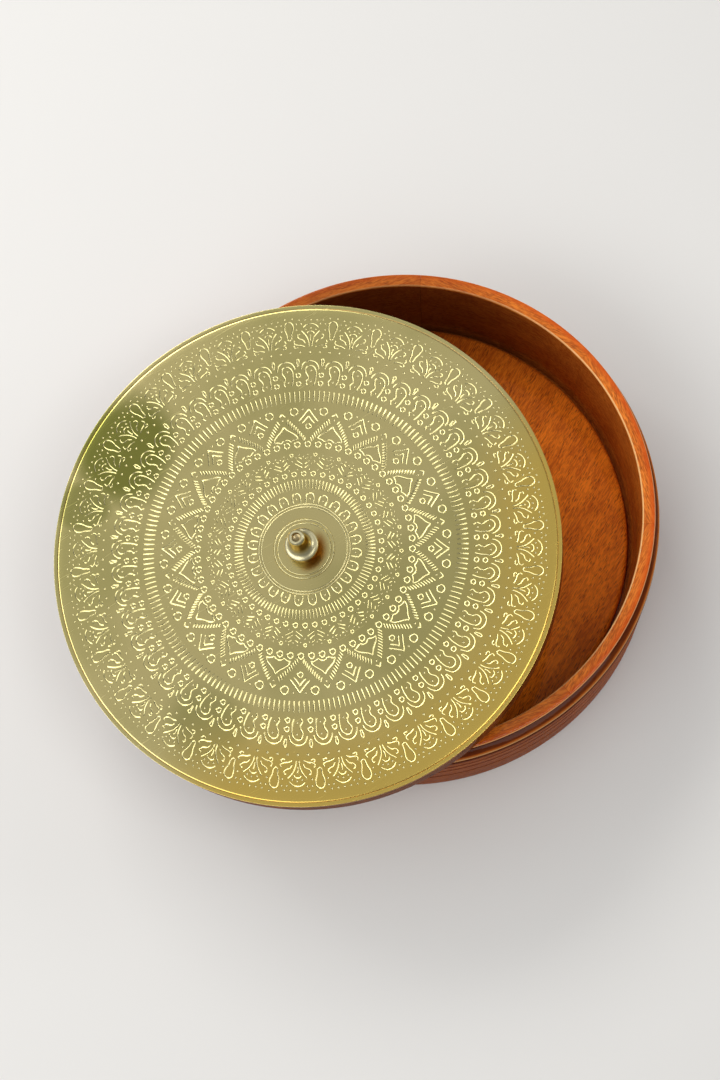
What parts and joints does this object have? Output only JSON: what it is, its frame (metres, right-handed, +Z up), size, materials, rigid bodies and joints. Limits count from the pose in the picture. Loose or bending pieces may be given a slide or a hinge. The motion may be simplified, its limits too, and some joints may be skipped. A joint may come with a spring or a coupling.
{
  "type": "chapati box",
  "caption": "Round wooden box for flatbreads, its embossed brass-faced lid slid aside and leaning on the rim, with a small turned brass knob.",
  "frame": {"origin": "centre of the box's flat underside", "axes": "+Z up along the box's axis; the lid is slid towards -X and leans down that way; +Y completes a right-handed frame"},
  "size_m": [0.3061, 0.2564, 0.1182],
  "materials": {
    "wall_wood": "glossy varnish over orange-brown hardwood",
    "floor_wood": "glossy varnish over orange-brown hardwood with dark pores",
    "lid_wood": "glossy varnish over dark red-brown hardwood",
    "embossed_brass": "satin embossed sheet, turned and buffed round its centre",
    "knob_brass": "satin turned brass",
    "plated_steel": "plain plated steel"
  },
  "bodies": {
    "box": {"base_panel": "floor_wood", "wall_segment_1": "wall_wood", "wall_segment_2": "wall_wood", "wall_segment_3": "wall_wood", "wall_segment_4": "wall_wood", "wall_segment_5": "wall_wood", "wall_segment_6": "wall_wood", "wall_segment_7": "wall_wood", "wall_segment_8": "wall_wood"},
    "lid": {"lid_board": "lid_wood", "locating_ring": "lid_wood", "brass_cover": "embossed_brass", "knob": "knob_brass", "knob_washer": "plated_steel", "knob_screw": "plated_steel"}
  },
  "joints": [
    {"name": "lid_lift", "type": "slide", "parent": "box", "child": "lid", "axis": [0, 0, 1], "range_m": [0, 0.15]}
  ]
}
